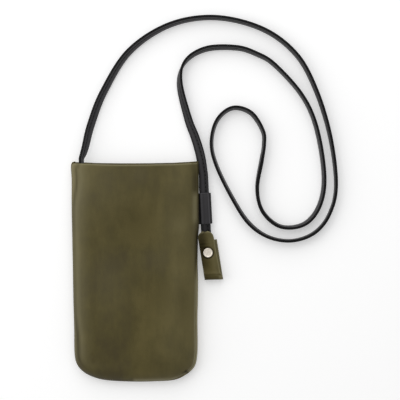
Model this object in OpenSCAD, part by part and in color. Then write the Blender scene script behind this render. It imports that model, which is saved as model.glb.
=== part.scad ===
// Leather phone pouch on a long strap, lying on its back with the mouth towards +Y.
// The back rests on z = 0, and the side loop for the strap's end is on the +X edge.
// Two leather panels are sewn face to face round three sides and turned, so that
// their seam allowances lie inside. A lined inner bag hangs in the mouth.

/* [Pouch] */
// Width of the pouch across its side folds
pouch_w = 110; // [100:1:130]
// Length from the bottom fold to the mouth edge of the back
pouch_l = 191; // [170:1:220]
// Thickness of the pouch when it is filled out
pouch_t = 15; // [14.5:0.5:18]
// Radius of the two bottom corners
corner_r = 24; // [18:1:32]
// Height of the side seam above the back
seam_z = 5.5; // [5:0.25:6.5]
// Thickness of the olive leather
leather_t = 1.3; // [1:0.1:1.5]
// Width of the seam allowances that are turned inside
allowance = 5; // [4:0.5:6]
// How far the back's mouth edge stands above the front's
mouth_step = 1.5; // [0.5:0.5:4]

/* [Inner bag] */
// Thickness of the cotton lining
lining_t = 0.5; // [0.3:0.1:0.8]
// Thickness of the leather facings inside the mouth
facing_t = 1.1; // [0.8:0.1:1.3]
// Depth of the facings below the front's mouth edge
facing_h = 30; // [24:1:45]
// How far the lining runs up behind the facings
facing_lap = 8; // [5:1:12]
// Room between the outer leather and the inner bag
bag_gap = 0.2; // [0.1:0.05:0.4]
// Rounding of the inner bag's long edges
bag_edge_r = 2.5; // [2:0.25:3.5]

/* [Strap] */
// Width of the strap
strap_w = 8; // [6.5:0.5:8.5]
// Thickness of the folded and sewn strap
strap_t = 2.4; // [2:0.1:3]
// Bevel along the strap's four long edges
strap_bevel = 0.7; // [0.4:0.1:0.9]
// Length of the strap's first end that stands out of the mouth
root_out = 1.5; // [1:0.5:3]
// Room between the strap's sewn end and the lower edge of the facings
root_seat = 2; // [1:0.5:6]
// Length of straight strap above the side loop
tail_above = 16; // [10:1:18]
// Length of full strap that runs in between the tab's leaves
tail_in_tab = 4; // [3:0.5:6]
// Thickness of the skived tongue at the strap's end
tongue_t = 1.2; // [0.8:0.1:1.5]
// Length of the tongue beyond the press stud's middle
tongue_past = 6; // [5:0.5:8]

/* [Side loop] */
// Length of the side loop along the strap
loop_l = 26; // [20:1:32]
// Thickness of the side loop's leather
loop_t = 1.1; // [0.8:0.1:1.2]
// Distance of the loop's middle above the pouch's middle
loop_y = 54.5; // [45:0.5:60]
// Gap between the pouch's edge and the loop's tube
loop_gap = 1.5; // [1.2:0.1:3]
// Length of the loop's ends inside the side seam
loop_tuck = 4.4; // [3:0.2:5]
// Lean of the loop and the strap's end off the pouch's length
loop_turn = 3; // [1:0.5:5]
// Inner rounding of the loop's tube
loop_r = 0.8; // [0.5:0.1:1]
// Running clearance of the strap in the loop
slide_gap = 0.2; // [0.15:0.05:0.4]
// Clearance of the loop's ends in the side seam
tuck_gap = 0.05; // [0.02:0.01:0.1]

/* [Tab] */
// Length of the folded tab
tab_l = 42.4; // [38:0.2:50]
// Width of the tab at its fold
tab_w = 16; // [14:0.5:16.5]
// Width of the front leaf at its rounded end
tab_end_w = 13.6; // [12:0.2:14]
// Radius of the front leaf's rounded end
tab_end_r = 8.1; // [7.2:0.1:10]
// Thickness of the tab's leather
tab_t = 1.3; // [1:0.1:1.4]
// Space between the tab's two leaves
tab_space = 3.8; // [3.6:0.1:4.4]
// Distance of the tab's rounded end below the side loop at rest
tab_drop = 7.3; // [7:0.1:12]
// Sideways offset of the tab from the strap's end
tab_shift = 0.8; // [0:0.1:1]
// Further lean of the tab off the strap's end
tab_turn = 7.2; // [5:0.2:9]
// How much shorter the back leaf is than the front leaf
back_leaf_short = 8.4; // [6:0.2:9]
// Skew of the back leaf on the front leaf
back_leaf_turn = 1.3; // [0:0.1:2]

/* [Press stud] */
// Diameter of the cap that shows
cap_d = 8.6; // [7.5:0.1:10]
// Height of the cap above the leaf
cap_h = 0.9; // [0.7:0.1:1.2]
// Depth of the dish inside the cap's rim
cap_dish = 0.25; // [0.1:0.05:0.4]
// Width of the cap's rim
cap_rim = 0.7; // [0.5:0.1:1]
// Distance of the press stud below the front leaf's rounded end
stud_down = 18.6; // [17:0.2:21]
// Sideways offset of the press stud on the tab
stud_shift = 1; // [0:0.1:1.5]
// Diameter of the socket under the front leaf
socket_d = 7.4; // [7:0.1:8]
// Diameter of the stud's head
head_d = 3.6; // [3.4:0.1:3.8]
// Diameter of the stud's neck
neck_d = 2.9; // [2.8:0.1:3]
// Diameter of the stud's foot
foot_d = 7.2; // [6.8:0.1:7.6]
// Thickness of the pressed sheet in the foot and the eyelet's flange
sheet_t = 0.4; // [0.3:0.05:0.5]
// Diameter of the eyelet's flange
eyelet_d = 6.4; // [6:0.1:7]
// Diameter of the posts that are clinched through the leather
post_d = 2.4; // [2.2:0.1:2.5]
// Diameter of the socket's spring wire
wire_d = 0.4; // [0.3:0.05:0.45]
// Clearance round the stud's head in the socket
stud_gap = 0.15; // [0.1:0.05:0.2]

/* [Thread] */
// Thickness of the thread
thread_d = 0.4; // [0.3:0.05:0.5]
// Pitch of the stitches
stitch_pitch = 5; // [4:0.5:8]

/* [Hidden] */
// Smoothness of round shapes
$fn = 48;
// Overrun of every cut past the face that it leaves
cut = 1;
// Share of the stitch pitch that a stitch's bar takes
bar_share = 0.7;

// Inner bag, measured from the pouch's outer edge and its back
bag_inset = leather_t + allowance + bag_gap;
bag_z0 = leather_t + bag_gap;
bag_z1 = pouch_t - leather_t - bag_gap;
bag_w = pouch_w - 2 * bag_inset;
bag_low = -pouch_l / 2 + bag_inset;
front_top = pouch_l / 2 - mouth_step;
back_top = pouch_l / 2;
facing_low = front_top - facing_h;
lining_top = facing_low + facing_lap;
facing_w = bag_w - 2 * lining_t;
facing_z0 = bag_z0 + lining_t;
facing_z1 = bag_z1 - lining_t;

// Sewn first end of the strap, on edge against the left facing
root_x = -(facing_w / 2 - facing_t - strap_t / 2);
root_z = (bag_z0 + bag_z1) / 2;
root_low = facing_low + root_seat;
root_top = back_top + root_out;

// Side loop: a flattened tube whose two ends lie in the side seam
slot_w = strap_w + 2 * slide_gap;
slot_h = strap_t + 2 * slide_gap;
tube_w = slot_w + 2 * loop_t;
tube_h = slot_h + 2 * loop_t;
loop_x = pouch_w / 2 + loop_gap + tube_w / 2;
tail_z = seam_z + loop_t - tube_h / 2;
zone_l = loop_l + leather_t * 2;

// Strap's second end
tail_top = loop_l / 2 + tail_above;
tab_top = -loop_l / 2 - tab_drop;
tail_low = tab_top - tail_in_tab;
tail_bottom_z = tail_z - strap_t / 2;

// Tab: levels from the back leaf upwards, and its fold
back_leaf_z = tail_bottom_z - tab_t;
front_leaf_z = tail_bottom_z + tab_space;
fold_in_r = tab_space / 2;
fold_out_r = fold_in_r + tab_t;
fold_y = -tab_l + fold_out_r;
fold_z = tail_bottom_z + fold_in_r;

// Press stud: levels and radii
foot_z = tail_bottom_z + tongue_t;
neck_z = foot_z + sheet_t;
head_z = neck_z + wire_d + 2 * stud_gap;
head_top_z = front_leaf_z - sheet_t - 2 * stud_gap;
socket_z = neck_z + stud_gap;
spring_z = socket_z + stud_gap / 2 + wire_d / 2;
spring_r = (head_d - stud_gap) / 2 + wire_d / 2;
groove_r = spring_r + wire_d / 2 + stud_gap / 3;
post_gap = tuck_gap;

// Strap's free run: [x, y, z, lean off standing on edge], from the mouth round to the loop
run_points = [
    [-42.7, 105.8, 6.6, -32],
    [-37.5, 126.9, 5.2, -40],
    [-26.4, 155.5, 4.6, -35],
    [-4.3, 190.1, 4.5, -26],
    [30.4, 212.9, 4.4, -16],
    [70, 219.3, 4.2, -12],
    [110.7, 209.4, 4.2, -11],
    [139.8, 187.6, 4.2, -11.5],
    [156.9, 156.9, 4.3, -11],
    [169.3, 116.8, 4.3, -7.5],
    [174.5, 75, 4.2, -3.5],
    [169.1, 49.9, 4.2, -2.5],
    [156.3, 33.3, 4.1, -5],
    [137, 26.1, 4.1, -5],
    [116.6, 29.1, 4.1, -8.5],
    [99.2, 41.2, 4.2, -14.5],
    [84.8, 63, 4.2, -13.5],
    [71.1, 91, 4.2, -12],
    [66.7, 111, 4.1, -9.5],
    [71.6, 130.4, 4.1, -10.5],
    [84.9, 140.9, 4.1, -11.5],
    [100.8, 136.6, 4.2, -12.5],
    [111.1, 121, 4.2, -10],
    [112, 108.4, 4.2, -9],
    [109.9, 95, 4.2, -7.5],
    [106.2, 71, 4.2, 0],
    [111.2, 51.1, 4.1, 6],
    [126.8, 38.3, 4.1, 9.5],
    [147.1, 40.6, 4.1, 13.5],
    [160.2, 56.8, 4.1, 12.5],
    [164.1, 83, 4.2, 11],
    [157.5, 123.8, 4.2, 10],
    [144.9, 151.9, 4.2, 8.5],
    [121.4, 178.2, 4.1, 9.5],
    [105, 188.1, 4.1, 12.5],
    [87.8, 193.2, 4.1, 15.5],
    [62.1, 192.2, 4.1, 17.5],
    [44.3, 181.5, 4.1, 7.5],
    [39.1, 163, 4.2, -27],
    [46.3, 132.1, 4.4, -47],
    [52.6, 115.1, 4.35, -60.5],
    [57.1, 99.6, 4.3, -74]
];
rings_per_span = 2;
// The free run's two ends meet the sewn end and the tail face to face
run_start = [root_x, root_top, root_z, 0];
run_end = [
    loop_x - tail_top * sin(loop_turn),
    loop_y + tail_top * cos(loop_turn),
    tail_z,
    -90
];
run_knots = concat([run_start], run_points, [run_end]);

// Places children in the frame of the side loop and the strap's end
module loop_frame() {
    translate([loop_x, loop_y, 0])
        rotate([0, 0, loop_turn])
            children();
}

// Places children in the frame of the tab, whose origin is at its rounded end
module tab_frame() {
    loop_frame()
        translate([-tab_shift, tab_top, 0])
            rotate([0, 0, tab_turn])
                children();
}

// Places children on the axis of the press stud
module stud_frame() {
    tab_frame()
        translate([-stud_shift, -stud_down, 0])
            children();
}

// Block from the origin whose far corner is rounded
module round_block(w, h, r) {
    intersection() {
        square([w, h]);
        union() {
            square([w - r, h]);
            translate([w - r, h - r])
                circle(r = r);
            if (h > r)
                square([w, h - r]);
        }
    }
}

// Rectangle on the origin with four round corners
module round_rect(w, h, r) {
    square([w - 2 * r, h], center = true);
    square([w, h - 2 * r], center = true);
    for (sx = [-1, 1], sy = [-1, 1])
        translate([sx * (w / 2 - r), sy * (h / 2 - r)])
            circle(r = r);
}

// Wall section: a plate at height h that curves down to its seam at height 0
module wall_section(reach, h, r, t) {
    difference() {
        round_block(reach, h, r);
        translate([-cut, -cut])
            round_block(reach - t + cut, h - t + cut, r - t);
    }
}

// Section of an outer panel: its wall and the seam allowance turned inside
module panel_section(h) {
    difference() {
        round_block(corner_r, h, h);
        difference() {
            translate([-cut, -cut])
                round_block(corner_r - leather_t + cut, h - leather_t + cut, h - leather_t);
            translate([corner_r - leather_t - allowance, -2 * cut])
                square([corner_r, leather_t + 2 * cut]);
        }
    }
}

// Tray with two rounded bottom corners, swept from a section that reaches r outwards
module tray(w, low, top, r, plate_z, plate_t) {
    side_l = top - low - r;
    middle_w = w - 2 * r;
    for (side = [0, 1])
        mirror([side, 0, 0])
            translate([w / 2 - r, 0, 0]) {
                translate([0, top, 0])
                    rotate([90, 0, 0])
                        linear_extrude(height = side_l)
                            children();
                translate([0, low + r, 0])
                    rotate([0, 0, -90])
                        rotate_extrude(angle = 90)
                            children();
            }
    translate([middle_w / 2, low + r, 0])
        rotate([0, 0, -90])
            rotate([90, 0, 0])
                linear_extrude(height = middle_w)
                    children();
    translate([-middle_w / 2, low + r, plate_z])
        cube([middle_w, side_l, plate_t]);
}

// Box in which the loop's ends lie between the seam allowances
module loop_ends(gap) {
    reach = loop_gap + loop_tuck + tube_w / 2;
    translate([-reach - gap, -loop_l / 2 - gap, seam_z - loop_t - gap])
        cube([reach + gap - tube_w / 2 + loop_t / 2, loop_l + 2 * gap, 2 * (loop_t + gap)]);
}

// Stretch of seam allowance that the loop's ends push away from the seam, up or down
module moved_allowance(way) {
    z = way > 0 ? seam_z + loop_t + tuck_gap : seam_z - loop_t - tuck_gap - leather_t;
    translate([pouch_w / 2 - leather_t - allowance, loop_y - zone_l / 2, z])
        cube([allowance + leather_t / 2, zone_l, leather_t]);
}

module front_panel() {
    color("#5B5233")
        difference() {
            union() {
                translate([0, 0, seam_z])
                    tray(pouch_w, -pouch_l / 2, front_top, corner_r,
                            pouch_t - seam_z - leather_t, leather_t)
                        panel_section(pouch_t - seam_z);
                moved_allowance(1);
            }
            loop_frame()
                loop_ends(tuck_gap);
        }
}

module back_panel() {
    color("#574E30")
        difference() {
            union() {
                translate([0, 0, seam_z])
                    tray(pouch_w, -pouch_l / 2, back_top, corner_r, -seam_z, leather_t)
                        mirror([0, 1])
                            panel_section(seam_z);
                moved_allowance(-1);
            }
            loop_frame()
                loop_ends(tuck_gap);
        }
}

// One stitch along Y whose leg passes down through a grip of leather
module stitch(grip, bars = [-1, 1]) {
    rotate([90, 0, 90])
        linear_extrude(height = thread_d, center = true) {
            square([thread_d, grip + thread_d], center = true);
            for (side = bars)
                translate([0, side * (grip + thread_d) / 2])
                    square([stitch_pitch * bar_share, thread_d], center = true);
        }
}

// Places children at even steps along a line from a to b, ends included
module stitch_row(a, b) {
    span = norm(b - a);
    count = max(1, floor(span / stitch_pitch));
    for (i = [0:count])
        translate(a + (b - a) * i / count)
            children();
}

module side_seam_thread() {
    line_r = corner_r - leather_t - thread_d * 2;
    line_x = pouch_w / 2 - corner_r + line_r;
    low_y = -pouch_l / 2 + corner_r;
    grip = 2 * leather_t;
    turns = floor(line_r * PI / 2 / stitch_pitch);
    top_y = front_top - stitch_pitch;
    color("#3F3A26")
        translate([0, 0, seam_z]) {
            stitch_row([-line_x, top_y, 0], [-line_x, low_y, 0])
                stitch(grip);
            stitch_row([line_x, top_y, 0], [line_x, loop_y + zone_l / 2 + stitch_pitch / 2, 0])
                stitch(grip);
            stitch_row([line_x, loop_y - zone_l / 2 - stitch_pitch / 2, 0], [line_x, low_y, 0])
                stitch(grip);
            stitch_row(
                    [-pouch_w / 2 + corner_r, low_y - line_r, 0],
                    [pouch_w / 2 - corner_r, low_y - line_r, 0])
                rotate([0, 0, 90])
                    stitch(grip);
            for (side = [0, 1], i = [1:turns - 1])
                mirror([side, 0, 0])
                    translate([pouch_w / 2 - corner_r, low_y, 0])
                        rotate([0, 0, -90 * i / turns])
                            translate([line_r, 0, 0])
                                stitch(grip);
        }
}

// Section of one half of the facings across the whole mouth
module facing_section(h) {
    for (side = [0, 1])
        mirror([side, 0])
            wall_section(facing_w / 2, h, bag_edge_r - lining_t, facing_t);
}

module front_facing() {
    color("#4E462B")
        translate([0, front_top, seam_z])
            rotate([90, 0, 0])
                linear_extrude(height = facing_h)
                    facing_section(facing_z1 - seam_z);
}

module back_facing() {
    color("#4E462B")
        translate([0, back_top, seam_z])
            rotate([90, 0, 0])
                linear_extrude(height = facing_h + mouth_step)
                    mirror([0, 1])
                        facing_section(seam_z - facing_z0);
}

module front_lining() {
    color("#3A372E")
        translate([0, 0, seam_z])
            tray(bag_w, bag_low, lining_top, corner_r - bag_inset,
                    bag_z1 - seam_z - lining_t, lining_t)
                wall_section(corner_r - bag_inset, bag_z1 - seam_z, bag_edge_r, lining_t);
}

module back_lining() {
    color("#3A372E")
        translate([0, 0, seam_z])
            tray(bag_w, bag_low, lining_top, corner_r - bag_inset, bag_z0 - seam_z, lining_t)
                mirror([0, 1])
                    wall_section(corner_r - bag_inset, seam_z - bag_z0, bag_edge_r, lining_t);
}

module facing_thread() {
    row_y = facing_low + facing_lap / 2;
    grip = facing_t + lining_t;
    half = facing_w / 2 - facing_t - strap_t - stitch_pitch / 2;
    color("#3F3A26")
        for (face = [0, 1])
            translate([0, 0, face * 2 * root_z])
                mirror([0, 0, face])
                    stitch_row([-half, row_y, bag_z0 + grip / 2], [half, row_y, bag_z0 + grip / 2])
                        rotate([0, 0, 90])
                            stitch(grip, [1]);
}

module side_loop() {
    color("#262527")
        loop_frame()
            difference() {
                union() {
                    translate([0, loop_l / 2, tail_z])
                        rotate([90, 0, 0])
                            linear_extrude(height = loop_l)
                                round_rect(tube_w, tube_h, loop_r + loop_t);
                    loop_ends(0);
                }
                translate([0, loop_l / 2 + cut, tail_z])
                    rotate([90, 0, 0])
                        linear_extrude(height = loop_l + 2 * cut)
                            round_rect(slot_w, slot_h, loop_r);
            }
}

module loop_thread() {
    line_x = -tube_w / 2 - loop_gap - leather_t - thread_d * 3;
    reach = loop_l / 2 - stitch_pitch / 2;
    color("#3F3A26")
        loop_frame()
            translate([0, 0, seam_z])
                stitch_row([line_x, -reach, 0], [line_x, reach, 0])
                    stitch(2 * (leather_t + loop_t + tuck_gap));
}

// Outline of the strap's section, its width along the first axis
function strap_outline() = let (
        a = strap_w / 2,
        b = strap_t / 2,
        c = strap_bevel
    ) [
        [a, b - c], [a - c, b], [-a + c, b], [-a, b - c],
        [-a, -b + c], [-a + c, -b], [a - c, -b], [a, -b + c]
    ];

module strap_root() {
    color("#262527")
        translate([root_x, root_top, root_z])
            rotate([90, 90, 0])
                linear_extrude(height = root_top - root_low)
                    polygon(strap_outline());
}

module anchor_thread() {
    grip = facing_t + strap_t;
    low = lining_top + stitch_pitch / 2;
    high = front_top - stitch_pitch;
    color("#1C1B1D")
        for (row = [-1, 1])
            stitch_row(
                    [root_x - facing_t / 2, low, root_z + row * strap_w / 4],
                    [root_x - facing_t / 2, high, root_z + row * strap_w / 4])
                rotate([0, 90, 0])
                    stitch(grip, [1]);
}

// Point between p1 and p2 on the smooth curve through p0, p1, p2 and p3
function on_curve(p0, p1, p2, p3, t) =
    (2 * p1 + (p2 - p0) * t + (2 * p0 - 5 * p1 + 4 * p2 - p3) * t * t
        + (3 * p1 - p0 - 3 * p2 + p3) * t * t * t) / 2;

function knot(i) =
    i < 0 ? 2 * run_knots[0] - run_knots[1]
    : i >= len(run_knots) ? 2 * run_knots[len(run_knots) - 1] - run_knots[len(run_knots) - 2]
    : run_knots[i];

function run_line() = [
    for (i = [0:len(run_knots) - 2], k = [0:rings_per_span - 1])
        on_curve(knot(i - 1), knot(i), knot(i + 1), knot(i + 2), k / rings_per_span),
    run_knots[len(run_knots) - 1]
];

// Level direction of the strap at ring i, square to what its two ends meet
function heading(line, i) =
    i == 0 ? [0, 1]
    : i == len(line) - 1 ? [sin(loop_turn), -cos(loop_turn)]
    : let (
        back = [line[i][0] - line[i - 1][0], line[i][1] - line[i - 1][1]],
        ahead = [line[i + 1][0] - line[i][0], line[i + 1][1] - line[i][1]],
        both = back / norm(back) + ahead / norm(ahead)
    ) both / norm(both);

function ring(line, i) = let (
        p = line[i],
        h = heading(line, i),
        side = [h[1], -h[0], 0],
        wide = cos(p[3]) * [0, 0, 1] + sin(p[3]) * side,
        thick = cos(p[3]) * side - sin(p[3]) * [0, 0, 1]
    ) [
        for (q = strap_outline())
            [p[0], p[1], p[2]] + q[0] * wide + q[1] * thick
    ];

// Tube through rings of equal count, closed at both ends
module tube(rings) {
    n = len(rings[0]);
    last = len(rings) - 1;
    points = [for (r = rings, p = r) p];
    sides = [
        for (i = [0:last - 1], j = [0:n - 1])
            [i * n + j, (i + 1) * n + j, (i + 1) * n + (j + 1) % n, i * n + (j + 1) % n]
    ];
    first_end = [for (j = [0:n - 1]) j];
    last_end = [for (j = [n - 1:-1:0]) last * n + j];
    polyhedron(points = points, faces = concat(sides, [first_end, last_end]));
}

module strap() {
    line = run_line();
    color("#262527")
        tube([for (i = [0:len(line) - 1]) ring(line, i)]);
}

module strap_tail() {
    tongue_l = stud_down + tongue_past;
    color("#262527")
        difference() {
            union() {
                loop_frame()
                    translate([0, tail_top, tail_z])
                        rotate([90, 0, 0])
                            linear_extrude(height = tail_top - tail_low)
                                polygon(strap_outline());
                tab_frame()
                    translate([-strap_w / 2, -tongue_l, tail_bottom_z])
                        cube([strap_w, tongue_l - tail_in_tab / 2, tongue_t]);
            }
            stud_frame()
                translate([0, 0, tail_bottom_z - cut])
                    cylinder(d = post_d + 2 * post_gap, h = tongue_t + 2 * cut);
        }
}

module tab_back_leaf() {
    leaf_l = tab_l - fold_out_r - back_leaf_short;
    color("#5B5233")
        difference() {
            tab_frame()
                translate([0, fold_y, back_leaf_z])
                    rotate([0, 0, -back_leaf_turn])
                        translate([-tab_w / 2, 0, 0])
                            cube([tab_w, leaf_l, tab_t]);
            stud_frame()
                translate([0, 0, back_leaf_z - cut])
                    cylinder(d = post_d + 2 * post_gap, h = tab_t + 2 * cut);
        }
}

module tab_fold() {
    color("#4E462B")
        tab_frame()
            translate([0, fold_y, fold_z])
                rotate([90, 0, 90])
                    linear_extrude(height = tab_w, center = true)
                        difference() {
                            circle(r = fold_out_r);
                            circle(r = fold_in_r);
                            translate([0, -fold_out_r - cut])
                                square([fold_out_r + cut, 2 * (fold_out_r + cut)]);
                        }
}

module tab_front_leaf() {
    leaf_l = tab_l - fold_out_r;
    color("#625839")
        difference() {
            tab_frame()
                translate([0, 0, front_leaf_z])
                    linear_extrude(height = tab_t)
                        intersection() {
                            polygon([
                                [-tab_w / 2, -leaf_l], [tab_w / 2, -leaf_l],
                                [tab_end_w / 2, 0], [-tab_end_w / 2, 0]
                            ]);
                            union() {
                                translate([0, -tab_end_r])
                                    circle(r = tab_end_r);
                                translate([-tab_w / 2, -leaf_l])
                                    square([tab_w, leaf_l - tab_end_r]);
                            }
                        }
            stud_frame()
                translate([0, 0, front_leaf_z - cut])
                    cylinder(d = post_d + 2 * post_gap, h = tab_t + 2 * cut);
        }
}

// Cap with a raised rim, and the post that holds the socket
module snap_cap() {
    top = front_leaf_z + tab_t;
    r = cap_d / 2;
    color("#D6CFC6")
        stud_frame()
            rotate_extrude()
                polygon([
                    [0, front_leaf_z - sheet_t], [post_d / 2, front_leaf_z - sheet_t],
                    [post_d / 2, top], [r - cap_rim / 2, top], [r, top + cap_h / 3],
                    [r, top + cap_h * 2 / 3], [r - cap_rim / 3, top + cap_h],
                    [r - cap_rim, top + cap_h], [r - cap_rim - cap_dish, top + cap_h - cap_dish],
                    [0, top + cap_h - cap_dish]
                ]);
}

// Ring under the front leaf that snaps over the stud's head
module snap_socket() {
    bore_r = head_d / 2 + stud_gap;
    groove_low = spring_z - wire_d / 2 - stud_gap / 3;
    groove_high = spring_z + wire_d / 2 + stud_gap / 3;
    color("#A9A39A")
        stud_frame()
            rotate_extrude()
                polygon([
                    [bore_r, socket_z], [socket_d / 2 - sheet_t, socket_z],
                    [socket_d / 2, socket_z + sheet_t], [socket_d / 2, front_leaf_z],
                    [post_d / 2 + post_gap, front_leaf_z],
                    [post_d / 2 + post_gap, front_leaf_z - sheet_t],
                    [bore_r, front_leaf_z - sheet_t], [bore_r, groove_high],
                    [groove_r, groove_high], [groove_r, groove_low], [bore_r, groove_low]
                ]);
}

module snap_spring() {
    color("#8C8780")
        stud_frame()
            translate([0, 0, spring_z])
                rotate_extrude()
                    translate([spring_r, 0])
                        circle(d = wire_d);
}

// Stud with its foot on the strap's tongue
module snap_stud() {
    round_off = (head_top_z - head_z) / 4;
    hollow_z = head_top_z - 2 * round_off;
    color("#A9A39A")
        stud_frame()
            rotate_extrude()
                polygon([
                    [post_d / 2 + post_gap, foot_z], [foot_d / 2, foot_z],
                    [foot_d / 2, neck_z], [neck_d / 2, neck_z], [neck_d / 2, head_z],
                    [head_d / 2, head_z + round_off], [head_d / 2, head_top_z - round_off],
                    [head_d / 2 - round_off, head_top_z], [0, head_top_z],
                    [0, hollow_z], [post_d / 2 + post_gap, hollow_z]
                ]);
}

// Eyelet clinched up through the back leaf and the tongue into the stud
module snap_eyelet() {
    post_top = head_z + post_gap;
    color("#A9A39A")
        stud_frame()
            union() {
                translate([0, 0, back_leaf_z - sheet_t])
                    cylinder(d = eyelet_d, h = sheet_t);
                translate([0, 0, back_leaf_z - sheet_t])
                    cylinder(d = post_d, h = post_top - back_leaf_z + sheet_t);
            }
}

front_panel();
back_panel();
side_seam_thread();
front_facing();
back_facing();
front_lining();
back_lining();
facing_thread();
side_loop();
loop_thread();
strap_root();
anchor_thread();
strap();
strap_tail();
tab_back_leaf();
tab_fold();
tab_front_leaf();
snap_cap();
snap_socket();
snap_spring();
snap_stud();
snap_eyelet();
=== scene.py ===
import math

import bmesh
import bpy
from mathutils import Matrix, Vector, noise


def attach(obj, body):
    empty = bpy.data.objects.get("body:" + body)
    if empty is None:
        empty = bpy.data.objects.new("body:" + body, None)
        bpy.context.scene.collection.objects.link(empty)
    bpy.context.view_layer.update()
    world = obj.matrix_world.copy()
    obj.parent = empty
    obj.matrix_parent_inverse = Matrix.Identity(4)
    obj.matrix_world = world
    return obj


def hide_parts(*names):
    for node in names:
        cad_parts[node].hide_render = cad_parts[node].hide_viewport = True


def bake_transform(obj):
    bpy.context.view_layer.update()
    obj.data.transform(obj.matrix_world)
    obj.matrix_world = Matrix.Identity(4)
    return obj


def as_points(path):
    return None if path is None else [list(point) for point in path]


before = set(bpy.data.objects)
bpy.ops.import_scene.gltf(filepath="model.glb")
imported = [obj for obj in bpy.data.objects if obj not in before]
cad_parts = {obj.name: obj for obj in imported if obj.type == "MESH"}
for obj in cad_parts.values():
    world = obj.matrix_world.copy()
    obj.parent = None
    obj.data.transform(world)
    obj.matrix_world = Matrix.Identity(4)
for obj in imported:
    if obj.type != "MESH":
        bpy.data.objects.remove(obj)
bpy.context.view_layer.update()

# Lengths in this script are millimetres, and MM turns them to metres
MM = 0.001

# The picture is taken from straight above, and this square of the floor fills it
VIEW_CENTRE = (56.7, 61.3)
VIEW_SIDE = 348
CAMERA_HEIGHT = 950
SENSOR = 36

# Strap, as in the part's source
STRAP_W = 8
STRAP_T = 2.4
ROOT_X = -45.7
ROOT_Z = 7.5
ROOT_LOW = 70
ROOT_TOP = 97
TAIL_Z = 4.1
TAIL_TOP = 29
TONGUE_Z = 3.5
# The strap lies a little to the left in its slot, and its seam runs nearer one edge
TAIL_SHIFT = -0.65
SEAM_AT = 1.5

# Side loop, tab and press stud, as in the part's source
LOOP_FRAME = Matrix.Translation((61.8, 54.5, 0)) @ Matrix.Rotation(math.radians(3), 4, "Z")
TAB_FRAME = (
    LOOP_FRAME
    @ Matrix.Translation((-0.8, -20.3, 0))
    @ Matrix.Rotation(math.radians(7.2), 4, "Z")
)
STUD_PLACE = (-1, -18.6)
STUD_FRAME = TAB_FRAME @ Matrix.Translation((*STUD_PLACE, 0))

# The strap's free run: x, y, z and the lean off standing on edge in degrees
RUN = [
    (-42.7, 105.8, 6.6, -32), (-37.5, 126.9, 5.2, -40), (-26.4, 155.5, 4.6, -35),
    (-4.3, 190.1, 4.5, -26), (30.4, 212.9, 4.4, -16), (70, 219.3, 4.2, -12), (110.7, 209.4, 4.2, -11),
    (139.8, 187.6, 4.2, -11.5), (156.9, 156.9, 4.3, -11), (169.3, 116.8, 4.3, -7.5),
    (174.5, 75, 4.2, -3.5), (169.1, 49.9, 4.2, -2.5), (156.3, 33.3, 4.1, -5), (137, 26.1, 4.1, -5),
    (116.6, 29.1, 4.1, -8.5), (99.2, 41.2, 4.2, -14.5), (84.8, 63, 4.2, -13.5), (71.1, 91, 4.2, -12),
    (66.7, 111, 4.1, -9.5), (71.6, 130.4, 4.1, -10.5), (84.9, 140.9, 4.1, -11.5),
    (100.8, 136.6, 4.2, -12.5), (111.1, 121, 4.2, -10), (112, 108.4, 4.2, -9), (109.9, 95, 4.2, -7.5),
    (106.2, 71, 4.2, 0), (111.2, 51.1, 4.1, 6), (126.8, 38.3, 4.1, 9.5), (147.1, 40.6, 4.1, 13.5),
    (160.2, 56.8, 4.1, 12.5), (164.1, 83, 4.2, 11), (157.5, 123.8, 4.2, 10), (144.9, 151.9, 4.2, 8.5),
    (121.4, 178.2, 4.1, 9.5), (105, 188.1, 4.1, 12.5), (87.8, 193.2, 4.1, 15.5),
    (62.1, 192.2, 4.1, 17.5), (44.3, 181.5, 4.1, 7.5), (39.1, 163, 4.2, -27), (46.3, 132.1, 4.4, -47),
    (52.6, 115.1, 4.35, -60.5), (57.1, 99.6, 4.3, -74)
]
# The knot of RUN at which the moving lead of the strap begins
LEAD_KNOT = 35
RINGS_PER_SPAN = 11

RIGHT = Vector((1, 0, 0))
AHEAD = Vector((0, 1, 0))
UP = Vector((0, 0, 1))


def look_down():
    """The camera, straight above the flat lay."""
    data = bpy.data.cameras.new("Overhead camera")
    data.sensor_width = SENSOR
    data.lens = SENSOR * CAMERA_HEIGHT / VIEW_SIDE
    data.clip_end = 20
    camera = bpy.data.objects.new("Overhead camera", data)
    camera.location = (VIEW_CENTRE[0] * MM, VIEW_CENTRE[1] * MM, CAMERA_HEIGHT * MM)
    bpy.context.scene.collection.objects.link(camera)
    bpy.context.scene.camera = camera


def mix(a, b, t):
    return a + (b - a) * t


def ease(low, high, value):
    """From 0 at low to 1 at high, smoothly."""
    t = min(max((value - low) / (high - low), 0), 1)
    return t * t * (3 - 2 * t)


def bell(value, middle, spread):
    return math.exp(-(((value - middle) / spread) ** 2))


def at(matrix, x, y, z):
    return matrix @ Vector((x, y, z))


def smooth(mesh):
    mesh.polygons.foreach_set("use_smooth", [True] * len(mesh.polygons))


def make_piece(name, points, faces, materials, slots=None):
    """A mesh object from points in millimetres."""
    mesh = bpy.data.meshes.new(name)
    mesh.from_pydata([Vector(p) * MM for p in points], [], faces)
    for material in materials:
        mesh.materials.append(material)
    if slots:
        mesh.polygons.foreach_set("material_index", slots)
    smooth(mesh)
    mesh.validate()
    mesh.update()
    piece = bpy.data.objects.new(name, mesh)
    bpy.context.scene.collection.objects.link(piece)
    return piece


def face_outwards(piece):
    """Turns all the faces of a piece outwards."""
    bm = bmesh.new()
    bm.from_mesh(piece.data)
    bmesh.ops.recalc_face_normals(bm, faces=bm.faces)
    bm.to_mesh(piece.data)
    bm.free()


def turned_over(faces):
    return [tuple(reversed(face)) for face in faces]


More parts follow.
